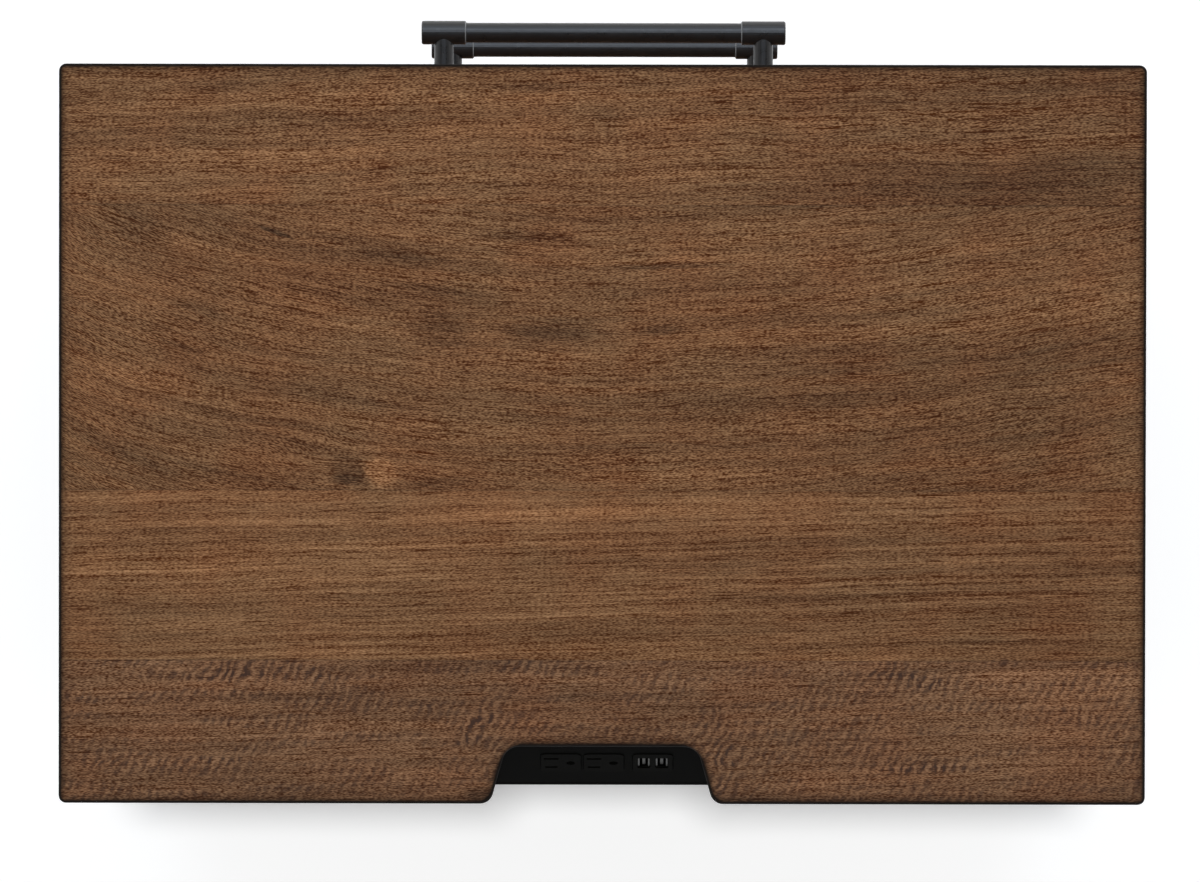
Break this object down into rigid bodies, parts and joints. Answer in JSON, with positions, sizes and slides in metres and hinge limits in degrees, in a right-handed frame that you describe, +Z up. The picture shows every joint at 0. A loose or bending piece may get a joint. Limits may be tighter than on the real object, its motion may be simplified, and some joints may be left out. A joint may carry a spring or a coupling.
{
  "type": "nightstand",
  "caption": "Wooden nightstand with stacked drawers on telescopic slides, bar pulls, tapered legs and a slanted power unit behind a cable notch in the top.",
  "frame": {"origin": "on the floor, under the middle of the bounding box, pulls included", "axes": "+X to the right seen from the front, +Y to the back, +Z up; the drawers open towards -Y"},
  "size_m": [0.66, 0.4814, 0.6409],
  "materials": {
    "brown_wood": "satin lacquer on edge-glued boards, blackened edges",
    "black_wood": "black stain under satin lacquer",
    "drawer_wood": "clear matt lacquer",
    "back_plywood": "black-stained plywood",
    "black_metal": "satin black coating",
    "zinc_steel": "bright zinc plating",
    "black_plastic": "fine moulded texture",
    "insert_plastic": "smooth moulded",
    "port_metal": "nickel plated",
    "glide_plastic": "moulded"
  },
  "bodies": {
    "case": {"top_panel": "brown_wood", "side_panel_left": "black_wood", "side_panel_right": "black_wood", "back_panel": "back_plywood", "bottom_panel": "black_wood", "top_rail": "black_wood", "middle_rail": "black_wood", "top_cleat_left": "black_wood", "top_cleat_right": "black_wood", "leg_front_left": "black_wood", "leg_front_right": "black_wood", "leg_back_left": "black_wood", "leg_back_right": "black_wood", "glide_front_left": "glide_plastic", "glide_front_right": "glide_plastic", "glide_back_left": "glide_plastic", "glide_back_right": "glide_plastic", "power_housing": "black_plastic", "power_faceplate": "black_plastic", "outlet_1": "insert_plastic", "outlet_2": "insert_plastic", "usb_insert": "insert_plastic", "usb_port_1": "port_metal", "usb_port_2": "port_metal", "cord_gland": "insert_plastic", "cord_grommet": "black_plastic", "upper_slide_case_left": "zinc_steel", "upper_slide_case_right": "zinc_steel", "lower_slide_case_left": "zinc_steel", "lower_slide_case_right": "zinc_steel"},
    "upper_drawer": {"upper_drawer_front": "brown_wood", "upper_drawer_box_front": "drawer_wood", "upper_drawer_side_left": "drawer_wood", "upper_drawer_side_right": "drawer_wood", "upper_drawer_back": "drawer_wood", "upper_drawer_bottom": "drawer_wood", "upper_slide_drawer_left": "zinc_steel", "upper_slide_drawer_right": "zinc_steel", "upper_pull_bar": "black_metal", "upper_pull_tee_left": "black_metal", "upper_pull_tee_right": "black_metal", "upper_pull_screw_left": "zinc_steel", "upper_pull_screw_right": "zinc_steel"},
    "lower_drawer": {"lower_drawer_front": "brown_wood", "lower_drawer_box_front": "drawer_wood", "lower_drawer_side_left": "drawer_wood", "lower_drawer_side_right": "drawer_wood", "lower_drawer_back": "drawer_wood", "lower_drawer_bottom": "drawer_wood", "lower_slide_drawer_left": "zinc_steel", "lower_slide_drawer_right": "zinc_steel", "lower_pull_bar": "black_metal", "lower_pull_tee_left": "black_metal", "lower_pull_tee_right": "black_metal", "lower_pull_screw_left": "zinc_steel", "lower_pull_screw_right": "zinc_steel"},
    "upper_slide_middles": {"upper_slide_middle_left": "zinc_steel", "upper_slide_middle_right": "zinc_steel"},
    "lower_slide_middles": {"lower_slide_middle_left": "zinc_steel", "lower_slide_middle_right": "zinc_steel"}
  },
  "joints": [
    {"name": "upper_drawer_slide", "type": "slide", "parent": "case", "child": "upper_drawer", "axis": [0, -1, 0], "range_m": [0, 0.3]},
    {"name": "lower_drawer_slide", "type": "slide", "parent": "case", "child": "lower_drawer", "axis": [0, -1, 0], "range_m": [0, 0.3]},
    {"name": "upper_middle_slide", "type": "slide", "parent": "case", "child": "upper_slide_middles", "axis": [0, -1, 0], "range_m": [0, 0.15]},
    {"name": "lower_middle_slide", "type": "slide", "parent": "case", "child": "lower_slide_middles", "axis": [0, -1, 0], "range_m": [0, 0.15]}
  ],
  "couplings": [
    {"joint": "upper_middle_slide", "follows": "upper_drawer_slide", "ratio": 0.5},
    {"joint": "lower_middle_slide", "follows": "lower_drawer_slide", "ratio": 0.5}
  ]
}
